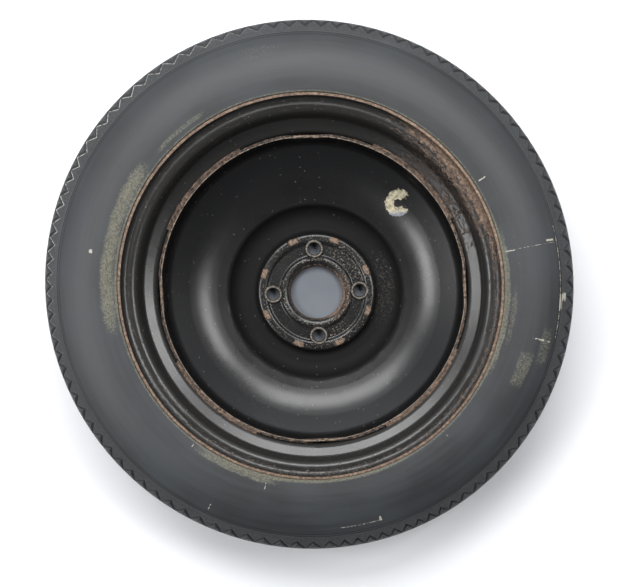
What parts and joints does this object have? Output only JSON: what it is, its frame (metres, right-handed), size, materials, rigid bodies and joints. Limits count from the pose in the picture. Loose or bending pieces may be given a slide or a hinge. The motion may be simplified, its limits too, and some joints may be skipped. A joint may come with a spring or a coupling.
{
  "type": "space saver spare wheel",
  "caption": "Narrow temporary-use spare wheel: pressed steel disc in a drop-centre rim, moulded tyre, snap-in valve with core and cap.",
  "frame": {"origin": "centre of the hub bore on the mounting face", "axes": "+Z along the wheel's axis to the inboard side, towards the hub; +X towards the valve; the wheel lies on its outboard side"},
  "size_m": [0.6188, 0.6188, 0.1272],
  "materials": {
    "tyre_rubber": "aged matte rubber with chalky scuffs",
    "painted_rim": "black paint with rust along the lip and edges",
    "painted_disc": "glossy black paint, dusty, rust at the hub pad",
    "weld_steel": "rusted weld bead",
    "valve_rubber": "matte black rubber",
    "brass": "dull brass",
    "spring_steel": "bright wire",
    "cap_plastic": "black plastic"
  },
  "bodies": {
    "wheel": {"tyre": "tyre_rubber", "rim": "painted_rim", "wheel_disc": "painted_disc", "disc_welds": "weld_steel", "valve_stem": "valve_rubber", "valve_tube": "brass", "core_body": "brass", "core_gasket": "valve_rubber", "core_spring": "spring_steel"},
    "pin": {"core_pin": "brass", "pin_seal": "valve_rubber"},
    "cap": {"valve_cap": "cap_plastic", "cap_seal": "valve_rubber"}
  },
  "joints": [
    {"name": "cap_off", "type": "slide", "parent": "wheel", "child": "cap", "axis": [-0.7071, 0, -0.7071], "range_m": [0, 0.014]},
    {"name": "pin_press", "type": "slide", "parent": "wheel", "child": "pin", "axis": [0.7071, 0, 0.7071], "range_m": [0, 0.0015], "stiffness_N_per_m": 1200, "springref_m": -0.001, "deforming": ["core_spring"]}
  ]
}
